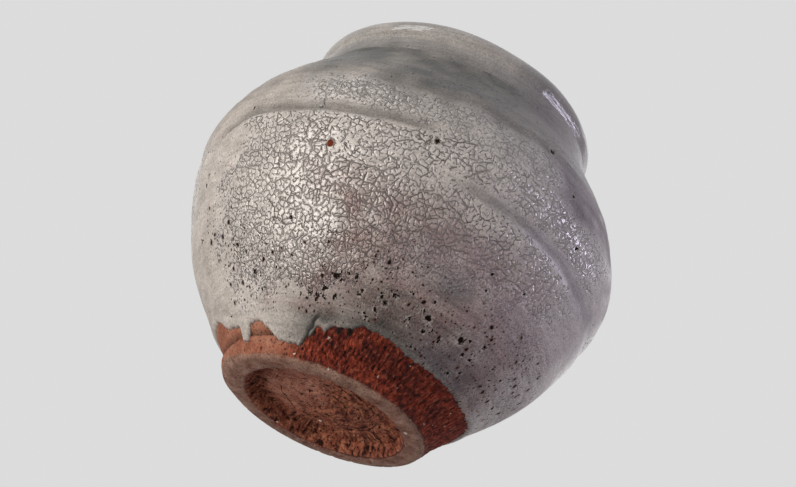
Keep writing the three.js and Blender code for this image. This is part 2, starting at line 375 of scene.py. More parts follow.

# The same clay in the hollow, dragged by the tool: brown, rings about the middle and tears by the wall,
# with their hollows painted dark as shade.
dragged, shader, make = material_of("dragged red stoneware")
coords = make("TexCoord").outputs["Object"]
tears, wiped = (make("Attribute", attribute_name=name).outputs["Fac"] for name in ("tears", "wiped"))
ring_grain, tear_grain = (
    make("TexNoise", drawn_along(make, coords, girth, outward, 0.6), per_metre(width), 2)
    for girth, outward, width in ((4, 1, 1.3), (33, 0.32, 1.9)))
fibre = make("Mix", tears, ring_grain, tear_grain)
colour, smooth_tone = blotched(make, coords, 7, ("784031", "ac6d53"), ("8f5544", "b57f6a"))
# Painted shade: the hollows of the rings and tears drawn dark
torn_shade_from = make("MapRange", wiped, 0, 1, 0.51, 0.38)
painted_torn_shade = make("MapRange", fibre, torn_shade_from, 0.34)
speck = make("TexNoise", coords, per_metre(1.0), 3, 0.6)
specks = make("MapRange", speck, 0.46, 0.34)
grit = grit_in(make, coords, 6, 0.8, 0.14, 0)
for share, tone in ((wiped, smooth_tone), (painted_torn_shade, "2a120c"), (specks, "20100b"), (grit, "d8c4b2")):
    colour = make("Mix", share, colour, tone, data_type="RGBA")
crumble = make("Bump", 0.9, 0.7 * mm)
feed(crumble, Height=make("Math", fibre, speck, operation="ADD"))
feed(shader, **{"Base Color": colour, "Normal": crumble, "Roughness": 0.92, "Specular IOR Level": 0.15})
base.data.materials.append(red_clay)
base.data.materials.append(dragged)
for polygon in base.data.polygons:
    centre = polygon.center / mm
    polygon.material_index = int(centre.xy.length < boss_radius and centre.z < hollow_ceiling)

# The tool dragged the inner side of the foot ring in the same way
foot.data.materials.append(dragged)
for polygon in foot.data.polygons:
    polygon.material_index = int(polygon.center.xy.length < foot_dragged_to * mm)
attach(base, "jar")
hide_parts("base_disc")

# Lower wall: the thrown lower half, coarse red stoneware, bare only just above the foot.
# The potter's finger left a shelf on the left of it and a groove on the right, given by angle and height.
# The wall is a little out of round.
wall_thickness = 6.5
lower_top = 90.15
lower_columns = 640
lower_step = 0.9
shelf_angle = [-180, -110, -68, -52, -28, -8, 0, 6]
shelf_height = [79, 81, 82, 88.2, 89.2, 90.8, 93, 94.5]
groove_angle = [-3, 10, 28, 46, 54, 110, 180]
groove_height = [78.6, 79.2, 79.8, 78.6, 77, 78, 79]


def level_across(z):
    """Level distance through a layer of unit thickness that leans as the wall does at a height."""
    return np.hypot(1, (outside(z + 0.01) - outside(z - 0.01)) / 0.02)


def thrown(angle, z):
    """How far the thrown wall stands out: uneven, ringed, with the shelf and the finger groove."""
    degrees = np.degrees(angle)
    x, y = plan_of(angle, outside(z))
    uneven = 0.7 * lumps(x, y, z, 45) + 0.3 * lumps(x, y, z, 15)
    rings = 0.12 * np.sin(z * 0.8 + 2 * lumps(x, y, z, 60)) * ramp(z, 96, 110)
    over_shelf = z - np.interp(degrees, shelf_angle, shelf_height)
    shelf_depth = np.interp(degrees, [-180, -150, -100, -70, -45, -20, 6], [0, 0, 2.7, 2.4, 1.9, 1.3, 0])
    shelf = -shelf_depth * ramp(over_shelf, -1, 1.6) * np.exp(-np.maximum(over_shelf, 0) / 8)
    over_groove = z - np.interp(degrees, groove_angle, groove_height)
    in_groove = np.interp(degrees, [-8, 8, 25, 120, 180], [0, 0.6, 1, 1, 0])
    finger = -1.1 * bell(over_groove, 0, 4)
    full_right = 0.9 * window(degrees, 50, 80, 110, 140) * window(z, 40, 55, 90, 110)
    return window(z, 12, 28, 138, 152) * (uneven + rings + shelf + in_groove * finger + full_right)


def wall_length(name, low, high, columns, step):
    """One thrown length of wall: its uneven outside, and the inside a wall's thickness away."""
    levels = rows(low, high, step)
    inner = rows(low, high, 8)[::-1]
    inside = outside(inner) - wall_thickness * level_across(inner)
    outline = [(outside(z), z) for z in levels] + list(zip(inside, inner))
    piece = turn(name, outline, columns)
    angle, radius, z = points_of(piece)
    outer = ramp(radius - outside(z), -wall_thickness / 2, 0)
    stands_out = thrown(angle, z) + torn_clay(angle, z) * (1 - ramp(z, 26, 34))
    place(piece, angle, radius + outer * stands_out, z)
    mark(piece, "wiped", 1 - crinkled(angle))
    mark(piece, "burns_and_crease_shade", burns(angle, z))
    piece.data.materials.append(red_clay)
    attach(piece, "jar")
    return piece


lower_wall = wall_length("thrown_lower_wall", base_top, lower_top, lower_columns, lower_step)
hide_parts("lower_wall")

# Upper wall: the thrown upper half, from the widest line in to the foot of the neck.
# The same red stoneware, luted onto the lower half, all of it under the glaze.
upper_top = 138.15
covered_columns = 240
covered_step = 2
upper_wall = wall_length("thrown_upper_wall", lower_top, upper_top, covered_columns, covered_step)
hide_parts("upper_wall")

# Neck collar: the low neck, drawn in on the wheel from the same length of clay.
# Red stoneware, under the glaze.
neck_top = 152.65
neck = wall_length("drawn_in_neck", upper_top, neck_top, covered_columns, covered_step)
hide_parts("neck_collar")

# Lip: the last of the thrown clay, rolled out and over with a wet strip of leather.
# Red stoneware, under the glaze.
lip_height = 164
lip_crown = 6
mouth_radius = 61


def crest(off, count):
    """Half ellipse over the lip from its outside to the mouth, at a distance off the clay."""
    outer, inner = outside(lip_height) + off, mouth_radius - off
    turned_by = np.linspace(0, math.pi, count)
    return list(zip((outer + inner) / 2 + (outer - inner) / 2 * np.cos(turned_by),
                    lip_height + (lip_crown + off) * np.sin(turned_by)))


lip_outline = [(outside(z), z) for z in rows(neck_top, lip_height, 1.5)[:-1]]
lip_outline += crest(0, 16) + [(mouth_radius, neck_top)]
lip = turn("rolled_lip", lip_outline, covered_columns)
lip.data.materials.append(red_clay)
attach(lip, "jar")
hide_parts("rim_lip")

# Ledge: a coil of the same clay luted into the mouth and turned flat, to carry the lid.
# It is left bare so that the lid doesn't stick to it in the kiln, and turning leaves it fairly smooth.
ledge_low, ledge_high = (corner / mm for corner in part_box("lid_ledge"))
ledge_inner = mouth_radius - 7.2
ledge_round = 1.2
ledge_columns = 320
turned_smooth = 0.7
ledge_outline = (
    line((ledge_inner + ledge_round, ledge_low.z), (mouth_radius, ledge_low.z), 1)
    + line((mouth_radius, ledge_low.z), (mouth_radius, ledge_high.z), 1)
    + line((mouth_radius, ledge_high.z), (ledge_inner + ledge_round, ledge_high.z), 0.8)
    + arc(ledge_inner + ledge_round, ledge_high.z - ledge_round, ledge_round, 90)
    + arc(ledge_inner + ledge_round, ledge_low.z + ledge_round, ledge_round, 180)[:-1]
)
ledge = turn("mouth_ledge", ledge_outline, ledge_columns)
angle, radius, z = points_of(ledge)
x, y = plan_of(angle, radius)
inner_edge = 1 - ramp(radius, ledge_inner, ledge_inner + 4)
place(ledge, angle, radius + inner_edge * 0.4 * lumps(x, y, z, 9), z - 0.1 * np.abs(lumps(x, y, z, 2.5)))
mark(ledge, "wiped", np.full(len(z), turned_smooth))
ledge.data.materials.append(red_clay)
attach(ledge, "jar")
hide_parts("lid_ledge")

# Inside glaze: poured in and swilled round, so that the jar holds water.
# A thin grey-white stoneware glaze, from the floor up to the ledge.
floor_height = 16.3
floor_coat = 1
neck_foot = 138
inside_columns = 208
coat_back = 0.3
coat_face = 1.3
inside_levels = rows(floor_height + 1.2, ledge_low.z - coat_back, 2.5)


def inside_clay(z):
    """Radius of the wall's inside, drawn straight from the foot of the neck up to the mouth."""
    below_neck = np.minimum(z, neck_foot)
    wall = outside(below_neck) - wall_thickness * level_across(below_neck)
    share = np.clip((z - neck_foot) / (ledge_low.z - neck_foot), 0, 1)
    return wall + (mouth_radius - wall) * share


inside_face = [(inside_clay(z) - coat_face * level_across(z), z) for z in inside_levels]
inside_back = [(inside_clay(z) - coat_back * level_across(z), z) for z in inside_levels[::4]]
floor_face = floor_height + floor_coat
inside_outline = (
    [(0, floor_height)] + line((12, floor_height), inside_back[0], 12) + inside_back
    + [(inside_back[-1][0], inside_levels[-1])] + inside_face[::-1]
    + line((inside_face[0][0] - 1, floor_face), (0, floor_face), 3) + [(0, floor_face)]
)
inside_glaze = turn("inside_glaze", inside_outline, inside_columns)

# Poured stoneware glaze, thin and even: soft gloss, a fine craze of grey lines, warm grey-white.
plain_glaze, shader, make = material_of("plain grey-white glaze")
coords = make("TexCoord").outputs["Object"]
cloud = make("TexNoise", coords, per_metre(16), 4, 0.6)
cloud_share = make("MapRange", cloud, 0.35, 0.65)
milky = make("Mix", cloud_share, "a39e93", "c0b9b0", data_type="RGBA")
craze = make("TexVoronoi", coords, per_metre(4.5), feature="DISTANCE_TO_EDGE")
craze_line = make("MapRange", craze, 0.05, 0.02)
crazed = make("Mix", craze_line, milky, "6f665c", data_type="RGBA")
settle = make("Bump", 0.4, 0.5 * mm)
feed(settle, Height=cloud)
feed(shader, **{"Base Color": crazed, "Normal": settle, "Roughness": 0.3})
inside_glaze.data.materials.append(plain_glaze)
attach(inside_glaze, "jar")
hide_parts("inner_glaze")

# Outer glaze: a thick feldspar coat, dipped from the rim, that crawled into a crackle as it melted.
# It stops unevenly above the foot, with one broad low run and one drip on the left of the front.
# The coat rounds over at that edge, and pits and a fold break it where it boiled.
glaze_columns = 544
edge_mean = 15
edge_reach = 30
coat_root = -0.6
wall_foot = 2
unroll_radius = 90
edge_angle = np.array([-180, -160, -135, -110, -85, -72, -62.5, -60, -56.5, -54, -48, -43, -38, -35, -24,
                       -21.5, -17, -14, -11, -5, 1, 12, 23, 34, 48, 62, 74, 87, 110, 140, 165, 180])
edge_height = np.array([15.8, 16.2, 17.5, 18.5, 17.6, 12.2, 11.7, 6.4, 6.0, 12, 12.8, 10.5, 7.5, 6.2, 6.0,
                        9, 13.5, 12.6, 15, 16, 18.5, 18.4, 16.8, 17.1, 17.4, 17.5, 18.5, 20.4, 19.5, 17,
                        16, 15.8])


def glaze_edge(angle):
    """Height of the coat's lower edge, smooth between the points where it turns."""
    degrees = (np.degrees(angle) + 180) % 360 - 180
    i = np.clip(np.searchsorted(edge_angle, degrees) - 1, 0, len(edge_angle) - 2)
    share = ramp(degrees, edge_angle[i], edge_angle[i + 1])
    ragged = 0.35 * np.sin(degrees * 1.7) * np.sin(degrees * 0.61 + 1)
    return edge_height[i] * (1 - share) + edge_height[i + 1] * share + ragged


def mark_of(piece, name):
    """Values that a piece's points were marked with."""
    values = np.empty(len(piece.data.vertices))
    piece.data.attributes[name].data.foreach_get("value", values)
    return values


def unroll(piece, u, v):
    """Lays a piece's points out flat in millimetres for its material, with the join at the back."""
    mesh = piece.data
    corners = np.empty(len(mesh.loops), int)
    mesh.loops.foreach_get("vertex_index", corners)
    starts, sides = np.empty(len(mesh.polygons), int), np.empty(len(mesh.polygons), int)
    mesh.polygons.foreach_get("loop_start", starts)
    mesh.polygons.foreach_get("loop_total", sides)
    flat = np.stack([u, v], 1)[corners] * mm
    first = np.repeat(flat[starts, 0], sides)
    once_round = math.tau * unroll_radius * mm
    flat[:, 0] += once_round * np.round((first - flat[:, 0]) / once_round)
    mesh.uv_layers.new(name="flat").data.foreach_set("uv", flat.ravel())


lower_levels = rows(edge_mean, edge_mean + edge_reach, 0.9)
upper_levels = rows(edge_mean + edge_reach, lip_height, 1.4)
outer_levels = np.r_[lower_levels, upper_levels[1:-1]]
mouth_end = ledge_high.z + coat_back
mouth_face = mouth_radius - coat_face
face_outline = [(outside(z) + coat_face * level_across(z), z) for z in outer_levels] + crest(coat_face, 18)
face_outline += line((mouth_face, lip_height - 1), (mouth_face, mouth_end), 1) + [(mouth_face, mouth_end)]
back_levels = rows(edge_mean, lip_height, 22)[::-1][1:-1]
back_crest = [(mouth_radius - coat_root, mouth_end)] + crest(coat_root, 7)[::-1]
back_outline = back_crest + [(outside(z) + coat_root * level_across(z), z) for z in back_levels]
off_wall = len(face_outline) - len(outer_levels) + len(back_crest)
on_face = [1] * len(face_outline) + [0] * len(back_outline)
on_wall = [1] * len(outer_levels) + [0] * off_wall + [1] * len(back_levels)
glaze = turn("crawled_glaze", face_outline + back_outline, glaze_columns, face=on_face, wall=on_wall)
angle, radius, z = points_of(glaze)
face = mark_of(glaze, "face") > 0.5
wall = mark_of(glaze, "wall") > 0.5
degrees = np.degrees(angle)
edge_shift = (glaze_edge(angle) - edge_mean) * np.clip((edge_mean + edge_reach - z) / edge_reach, 0, 1)
level = np.where(wall, z + edge_shift, z)
wall_level = np.clip(level, wall_foot, lip_height)
wall_radius = outside(wall_level)
x, y = plan_of(angle, wall_radius)

# Distance of each point of the coat from its lower edge, along the wall
edge_slant = 1.31
edge_radius = 54
to_edge = np.full(len(level), 50.0)
near = wall & (level < 34)
for aside in np.radians(np.linspace(-12, 12, 97)):
    drop = (level[near] - glaze_edge(angle[near] + aside)) * edge_slant
    to_edge[near] = np.minimum(to_edge[near], np.hypot(aside * edge_radius, drop))
round_over = np.clip(to_edge / 2.0, 0, 1)
left_run = window(degrees, -75, -62, -20, -8)
bead = (0.12 + 0.3 * left_run) * bell(to_edge, 2.2, 1.5)
thick = coat_root + (coat_face - coat_root) * np.sqrt(1 - (1 - round_over) ** 2) + bead

# Pits where gas broke through the coat: angle, height and radius of the ones that stand out
pits = [(19.4, 31, 1.7), (33.8, 31.7, 1.9), (42.4, 34.9, 1.2), (-1.2, 88.7, 1.35), (38.6, 28.5, 1.1),
        (20.7, 26.4, 1.1), (44.5, 23.7, 1), (76.2, 28.8, 1.1), (3.9, 28.7, 1.3), (2.3, 29.8, 1.1),
        (-17.2, 26.2, 1.1), (-5.5, 27.7, 1), (28.1, 118, 1.5), (44.3, 86.5, 1.1), (-70.2, 69.4, 1.1),
        (-76.1, 44.6, 1.2), (36.2, 33.1, 0.9), (-71.2, 65.6, 0.9), (40.3, 20.7, 0.85), (57.1, 29.5, 0.85),
        (60.6, 32.7, 0.8), (53, 32.1, 0.8), (-19.7, 22.1, 0.85), (-4.6, 29, 0.9), (0.1, 22, 0.85),
        (42.1, 28.3, 0.8), (17.7, 35.8, 0.9), (27.2, 54.9, 0.85), (28.6, 49.1, 0.8), (39.1, 57.4, 0.85),
        (-66.3, 15.5, 0.9), (20.3, 20.2, 0.75), (37, 105, 1.1), (-53.9, 93.4, 0.8), (-12.3, 29.7, 0.8),
        (-10.3, 32.3, 0.75), (57.4, 26.8, 0.75), (80.4, 30.2, 0.75), (72.5, 46.3, 0.75), (-78.4, 67.1, 0.7),
        (14.7, 33.6, 0.75), (-32.1, 46, 0.9)]
for pit_angle, pit_height, pit_radius in pits:
    across = np.radians(degrees - pit_angle) * wall_radius
    upward = (level - pit_height) * level_across(np.array(pit_height, float))
    away = np.hypot(across, upward) / pit_radius
    thick -= 0.6 * pit_radius * np.clip(1 - away ** 2, 0, 1)
    thick += 0.15 * bell(away, 1.4, 0.35)

# Fold at the end of the low run, where the coat slid over itself: a crack with a raised lip on its right
fold_height = [8, 18.5]
fold_angle = np.interp(level, fold_height, [-22.5, -17])
fold_beside = np.radians(degrees - fold_angle) * edge_radius + 1.2 * lumps(x, y, level, 3.5)
fold_here = window(level, 7, 9, 16, 20)
thick += fold_here * (0.5 * bell(fold_beside, 1.6, 0.8) - 0.9 * bell(fold_beside, 0, 0.7))
crawl = window(degrees, -80, -50, 25, 60) * window(level, 28, 44, 98, 116)
relief = 0.10 * lumps(x, y, level, 2.6) * (0.3 + crawl) + 0.12 * lumps(x, y, level, 7)
pooled = 1.3 * bell(level, 152, 4.5) * window(degrees, -75, -45, 75, 105)
thick = np.where(face, thick + relief * np.clip(to_edge / 3, 0, 1) + pooled, coat_root)
wall_face = wall_radius + thrown(angle, level) + thick * level_across(wall_level)
lift = 0.5 * lumps(x, y, 0 * x, 34) * ramp(z, 158, 168) * (radius > mouth_radius)
place(glaze, angle, np.where(wall, wall_face, radius), level + lift)

wall_levels = np.linspace(wall_foot, lip_height, 600)
wall_run = np.r_[0, np.cumsum(np.hypot(np.diff(wall_levels), np.diff(outside(wall_levels))))]
unroll(glaze, angle * unroll_radius, np.interp(level, wall_levels, wall_run))

# Where the coat crackled: over the front below the shelf, above it, round the back and faintly on the neck.
# Angles are in degrees from the front and levels in millimetres. Patches and rags make every border wander.
patch = lumps(x, y, level, 30)
ragged = lumps(x, y, level, 9)
wander = degrees + 26 * patch + 12 * ragged
drift = degrees + 10 * patch + 9 * ragged
climb = level + 7 * patch + 4 * ragged
over_shelf = level - np.interp(degrees, shelf_angle, shelf_height)
over_groove = level - np.interp(degrees, groove_angle, groove_height)
groove_smooth = 0.9 * bell(over_groove, -1.8, 3.4) * ramp(degrees, -4, 18)
crackle_foot = np.interp(degrees, [-60, -18, 1, 34, 60], [19, 26, 38, 46, 54])
front = window(drift, -70, -46, 46, 84) * ramp(level + 4 * ragged, crackle_foot - 12, crackle_foot + 8)
front = front * (1 - ramp(climb, 94, 106)) * (1 - ramp(over_shelf, -2, 1) * (1 - ramp(degrees, -12, 4)))
front = front * (1 - groove_smooth) * (1 - 0.22 * ramp(degrees, 0, 40) * (1 - ramp(over_groove, 1, 4)))
above = 0.85 * window(wander, -50, -30, 30, 60) * window(climb, 92, 97, 106, 118)
behind = (0.75 + 0.5 * patch) * (1 - ramp(np.cos(angle), -0.1, 0.5)) * window(climb, 34, 60, 84, 104)
neck_lines = 0.4 * window(climb, 108, 126, 152, 158) * (1 - ramp(level, 154, 159))
crackled = np.maximum.reduce([front, above, behind, neck_lines])
sparse = 0.12 * window(level, 66, 76, 92, 96) * window(degrees, -60, -40, 0, 16)

# Where it is pitted, grainy and crusted
low_front = window(drift, -80, -62, 80, 130) * window(level, 14, 18, 40, 56)
right_band = window(degrees, 36, 44, 84, 100) * window(level, 18, 22, 36, 48)
left_flank = 0.2 * window(degrees, -130, -100, -60, -40) * window(level, 20, 35, 90, 120)
pitted = np.clip(0.53 + 0.43 * low_front + 0.3 * right_band + left_flank + 0.2 * patch, 0, 1)
rough_front = window(wander, -20, 5, 80, 130) * window(level, 14, 18, 48, 62)
crusty = np.maximum(window(wander, -34, -14, 24, 44), 0.7 * window(drift, -76, -62, -40, -20))

# Where the clay and the fire tinted it, and where shade and the lilac of the light from the right are painted
# in
right_side = window(wander, 0, 45, 85, 135)
# Painted shade: darker towards the coat's lower edge on the front and right
painted_shade_low_edge = np.exp(-to_edge / (9 + 9 * ramp(degrees, -20, 6))) * window(degrees, -50, -20, 40, 78)
# Painted shade: the band over the shelf
painted_shade_over_shelf = 0.6 * ramp(over_shelf, -1, 1) * (1 - ramp(over_shelf, 2, 9)) * window(degrees, -80, -60, -12, 4)
# Painted shade over the shoulder and the neck
painted_shade_shoulder = 0.9 * window(degrees + 30 * patch, -95, -25, 40, 120) * (1 - ramp(level, 149, 162))
painted_shade_shoulder = painted_shade_shoulder * ramp(level + 9 * patch + 2 * ragged, 92, 130)
smudge = 0.7 * bell(degrees, 20, 9) * bell(level, 42, 6)
# Painted shade on the right of the lip
painted_shade_lip = 0.75 * window(degrees, 0, 30, 100, 140) * ramp(level, 142, 154)
# Painted shade on the shoulder all round, most on the right
painted_shade_right = (0.3 + 0.35 * window(degrees, 25, 50, 100, 140)) * ramp(climb, 84, 110)
# All the painted shade, with the groove's painted shade and a grey smudge, for the grey tone
painted_shade_and_smudge = np.maximum.reduce(
    [painted_shade_low_edge, smudge, painted_shade_over_shelf, painted_shade_shoulder, painted_shade_lip, painted_shade_right, 0.5 * groove_smooth])
glaze_marks = {
    "crackle": np.clip(crackled * (1.08 + 0.4 * ragged + 0.15 * patch - sparse), 0, 1),
    "pinholes": pitted * (1 - 0.3 * ramp(level, 140, 156)),
    "grainy": np.maximum(rough_front, 0.3 * window(level, 108, 120, 144, 152)),
    "boiled": crusty * window(level, 18, 22, 32, 40) * (0.85 + 0.4 * patch),
    "blush": window(wander, -42, -6, 44, 84) * window(level, 14, 20, 54, 78) * (0.9 + 0.6 * ragged),
    # Painted light: the lilac of the cool lamp on the right, drawn into the colour on that side
    "painted_lilac_light": right_side * (0.5 + 0.5 * ramp(level, 28, 50)) * (1 - 0.25 * ramp(level, 120, 150)),
    "faint": np.maximum(right_side, 0.8 * ramp(level, 90, 99)),
    # grey: painted shade, with the smudge and a grey tone that wanders at random
    "grey": np.clip(painted_shade_and_smudge * (1 + 0.25 * ragged) + 0.15 * patch + 0.1 * ragged, 0, 1),
    "glossy": ramp(level, 146, 158),
    "ringed": ramp(level, 98, 122),
    "bead": bell(to_edge, 1.2, 0.9) * (1 - 0.8 * ramp(degrees, -20, 2)),
    "fold": fold_here * bell(fold_beside, 0, 0.8),
}
for name, values in glaze_marks.items():
    mark(glaze, name, values)


def coat_point(at_angle, at_height):
    """The point of the coat's face that is nearest an angle and a height."""
    far = np.abs(degrees - at_angle) * 1.5 + np.abs(level - at_height) + 100 * ~(face & wall)
    return glaze.data.vertices[np.argmin(far)].co


def wobbled(make, points, push, far):
    """Points pushed about by a noise node, by about half of a distance."""
    either_way = make("VectorMath", push.outputs["Color"], (0.5, 0.5, 0.5), operation="SUBTRACT")
    pushed = make("VectorMath", either_way, far, operation="SCALE")
    return make("VectorMath", points, pushed, operation="ADD")


# Crawled feldspar glaze: glossy, milky islands puffed up between open brown cracks, black pinholes with a
# brown rim, and cavities with a pale crust where it boiled. The bump is in millimetres. The cracks are drawn
# 0.5 and 0.7 mm wide, a little wider than they are, so that they show.
crawled, shader, make = material_of("crawled feldspar glaze")
coords = make("TexCoord").outputs["Object"]
flat = make("TexCoord").outputs["UV"]
masks = {name: make("Attribute", attribute_name=name).outputs["Fac"] for name in glaze_marks}
bend = make("TexNoise", flat, per_metre(2.4), 1, noise_dimensions="2D")
wormy = wobbled(make, flat, bend, 1.2 * mm)
crack, rim = 0, 0
for island_size, half_width, break_size, least in ((2.3, 0.25, 1.6, 0.91), (6, 0.36, 4, 0.92)):
    islands = make("TexVoronoi", wormy, per_metre(island_size),
                   voronoi_dimensions="2D", feature="DISTANCE_TO_EDGE")
    broken = make("TexNoise", flat, per_metre(break_size), 1, noise_dimensions="2D")
    kept_by = make("Math", masks["crackle"], 0.5, broken, operation="MULTIPLY_ADD")
    kept = make("MapRange", kept_by, least - 0.04, least + 0.04)
    reach = half_width / island_size
    split = make("MapRange", islands, reach, reach * 0.25, 0, kept)
    beside = make("MapRange", islands, reach * 3.4, 0, 0, kept, interpolation_type="SMOOTHSTEP")
    crack = make("Math", crack, split, operation="MAXIMUM")
    rim = make("Math", rim, beside, operation="MAXIMUM")
deepness = make("TexNoise", coords, per_metre(7), 2)
dark_share = make("MapRange", deepness, 0.35, 0.65, 0.65, 1)
pale_crack = make("MapRange", masks["faint"], 0, 1, 1, 0.5)
crack_tone = make("Math", dark_share, pale_crack, operation="MULTIPLY")
dark_crack = make("Math", crack, crack_tone, operation="MULTIPLY")
hole, stain = 0, 0
for hole_spacing, smallest, largest in ((2.3, -0.24, 0.23), (6, -0.32, 0.19)):
    gas = make("TexVoronoi", wormy, per_metre(hole_spacing), voronoi_dimensions="2D")
    gas_size = make("SeparateColor", gas.outputs["Color"])
    gas_reach = make("Math", gas_size, masks["pinholes"], operation="MULTIPLY")
    hole_reach = make("MapRange", gas_reach, 0, 1, smallest, largest)
    within = make("Math", hole_reach, gas, operation="SUBTRACT")
    hole = make("Math", hole, make("MapRange", within, 0, 0.05), operation="MAXIMUM")
    stain = make("Math", stain, make("MapRange", within, -0.14, 0.02), operation="MAXIMUM")
shift = make("TexNoise", coords, per_metre(1.1), 2)
bent = wobbled(make, coords, shift, 2.8 * mm)
pit_rims = 0
for pit_angle, pit_height, pit_radius in pits:
    away = make("VectorMath", bent, coat_point(pit_angle, pit_height), operation="DISTANCE")
    pit_dark = make("MapRange", away, 1.1 * pit_radius * mm, 0.75 * pit_radius * mm)
    pit_rim = make("MapRange", away, 1.8 * pit_radius * mm, 1.2 * pit_radius * mm)
    hole = make("Math", hole, pit_dark, operation="MAXIMUM")
    pit_rims = make("Math", pit_rims, pit_rim, operation="MAXIMUM")
boil = make("TexNoise", flat, per_metre(5), 3, 0.55, noise_dimensions="2D")
boil_by = make("Math", masks["boiled"], 0.2, boil, operation="MULTIPLY_ADD")
cavity = make("MapRange", boil_by, 0.825, 0.855)
crust = make("MapRange", boil_by, 0.77, 0.825, 0, 0.6)
hole = make("Math", hole, cavity, operation="MAXIMUM")
red_angle, red_height, red_radius = -26.1, 76, 1.8
red_away = make("VectorMath", coords, coat_point(red_angle, red_height), operation="DISTANCE")
red_spot = make("MapRange", red_away, red_radius * mm, (red_radius - 0.5) * mm)
cloud = make("TexNoise", coords, per_metre(14), 6, 0.65)
cloud_share = make("MapRange", cloud, 0.36, 0.64)
colour = make("Mix", cloud_share, "a59d95", "beb6ae", data_type="RGBA")
rim_crust = make("Math", pit_rims, 0.35, crust, operation="MULTIPLY_ADD")
pale = make("Math", masks["bead"], 0.6, rim_crust, operation="MULTIPLY_ADD", use_clamp=True)
# The grey tone holds painted shade
# The lilac tone is painted light from the right
for part, most, tone in ((masks["crackle"], 0.35, "d2cbc4"), (masks["blush"], 0.9, "866c66"),
                         (masks["grey"], 1, "494844"), (masks["painted_lilac_light"], 0.32, "9f909b"), (pale, 1, "c2b9af")):
    share = make("Math", part, most, operation="MULTIPLY")
    colour = make("Mix", share, colour, tone, data_type="RGBA")
drawn_out = make("VectorMath", coords, (0.12, 0.12, 1), operation="MULTIPLY")
streak = make("TexNoise", drawn_out, per_metre(1.8), 3, 0.6)
grain = make("TexNoise", coords, per_metre(0.8), 2, 0.7)
mottle = make("Math", grain, 2, streak, operation="MULTIPLY_ADD")
grain_dark = make("MapRange", masks["grainy"], 0, 1, 0.6, 0.4)
grain_pale = make("MapRange", masks["grainy"], 0, 1, 1.4, 1.7)
mottle_shade = make("MapRange", mottle, 1, 2, grain_dark, grain_pale)
colour = make("VectorMath", colour, mottle_shade, operation="SCALE")
for part, most, tone in ((stain, 0.7, "6b4136"), (dark_crack, 1, "40332c"), (hole, 1, "1b100c"),
                         (red_spot, 1, "6a3020"), (masks["fold"], 1, "23241f")):
    share = make("Math", part, most, operation="MULTIPLY")
    colour = make("Mix", share, colour, tone, data_type="RGBA")
grain_tall = make("MapRange", masks["grainy"], 0, 1, 0.01, 0.9)
line_tall = make("Math", masks["ringed"], 0.3, operation="MULTIPLY")
rise = make("Math", streak, line_tall, operation="MULTIPLY")
for part, tall in ((grain, grain_tall), (crust, 0.5), (rim, -0.2), (crack, -0.25), (hole, -0.6)):
    rise = make("Math", part, tall, rise, operation="MULTIPLY_ADD")
surface = make("Bump", 1, 1 * mm)
feed(surface, Height=rise)
dull = make("MapRange", masks["crackle"], 0, 0.85, 0.58, 0.19)
smooth = make("Mix", masks["glossy"], dull, 0.09)
dry = make("Math", dark_crack, red_spot, operation="MAXIMUM")
rough = make("Mix", dry, smooth, 0.8)
glassy = make("Math", masks["crackle"], masks["glossy"], operation="MAXIMUM")
glass_sheen = make("MapRange", glassy, 0, 0.85, 0.12, 0.8)
sunk = make("Math", hole, red_spot, operation="MAXIMUM")
sheen = make("Mix", sunk, glass_sheen, 0.05)
feed(shader, **{"Base Color": colour, "Roughness": rough, "Specular IOR Level": sheen, "Normal": surface})
glaze.data.materials.append(crawled)
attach(glaze, "jar")
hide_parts("outer_glaze")

# Lid: a disc of the same red stoneware, thrown flat and turned, with a low dome.
# It drops into the mouth and lies loose on the ledge. Its rim and underside are bare.
lid_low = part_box("lid_disc")[0] / mm
lid_radius = 58.5
lid_edge = 5
lid_dome = 3
lid_round = 1.2
lid_columns = 320


def lid_top(r):
    """Height of the lid's bare top at a radius."""
    return lid_low.z + lid_edge + lid_dome * (1 - (r / lid_radius) ** 2)


lid_outline = (
    line((0, lid_low.z), (lid_radius - lid_round, lid_low.z), 0.8)
    + arc(lid_radius - lid_round, lid_low.z + lid_round, lid_round, -90)
    + arc(lid_radius - lid_round, lid_top(lid_radius) - lid_round, lid_round, 0)
    + [(r, lid_top(r)) for r in np.linspace(lid_radius - 2, 0, 24)]
)
lid = turn("turned_lid", lid_outline, lid_columns)
angle, radius, z = points_of(lid)
x, y = plan_of(angle, radius)
under = (1 - ramp(z, lid_low.z, lid_low.z + 1)) * (1 - ramp(radius, 51, 53))
turning = 0.18 * (1 + np.sin(radius * 1.9 - angle)) + 0.15 * (1 + lumps(x, y, z, 1.6))
place(lid, angle, radius + 0.12 * lumps(x, y, z, 3), z + under * turning)
mark(lid, "wiped", np.full(len(z), turned_smooth))
lid.data.materials.append(red_clay)
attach(lid, "lid")
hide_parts("lid_disc")

# Lid glaze: the jar's own crawled coat, brushed over the top of the lid and wiped back from its rim.
# It stops short of the knob's stem, and its outer edge wanders as a sponge leaves it.
lid_coat_rim = 57
lid_coat_hole = 8.3
lid_coat_root = -0.3
coat_radii = np.linspace(lid_coat_hole, lid_coat_rim, 60)
lid_coat_outline = [(r, lid_top(r) + lid_coat_root) for r in coat_radii[::12]]
lid_coat_outline += [(r, lid_top(r) + coat_face) for r in coat_radii[::-1]]
lid_coat = turn("lid_glaze_coat", lid_coat_outline, lid_columns)
angle, radius, z = points_of(lid_coat)
x, y = plan_of(angle, radius)
outward = ramp(radius, lid_coat_hole + 20, lid_coat_rim)
wiped = radius + outward * (0.7 * lumps(x, y, z, 11) + 0.3 * lumps(x, y, z, 4) - 0.6)
from_rim = np.clip((lid_coat_rim - radius) / 1.6, 0, 1)
on_top = z > lid_top(radius) + 0.5
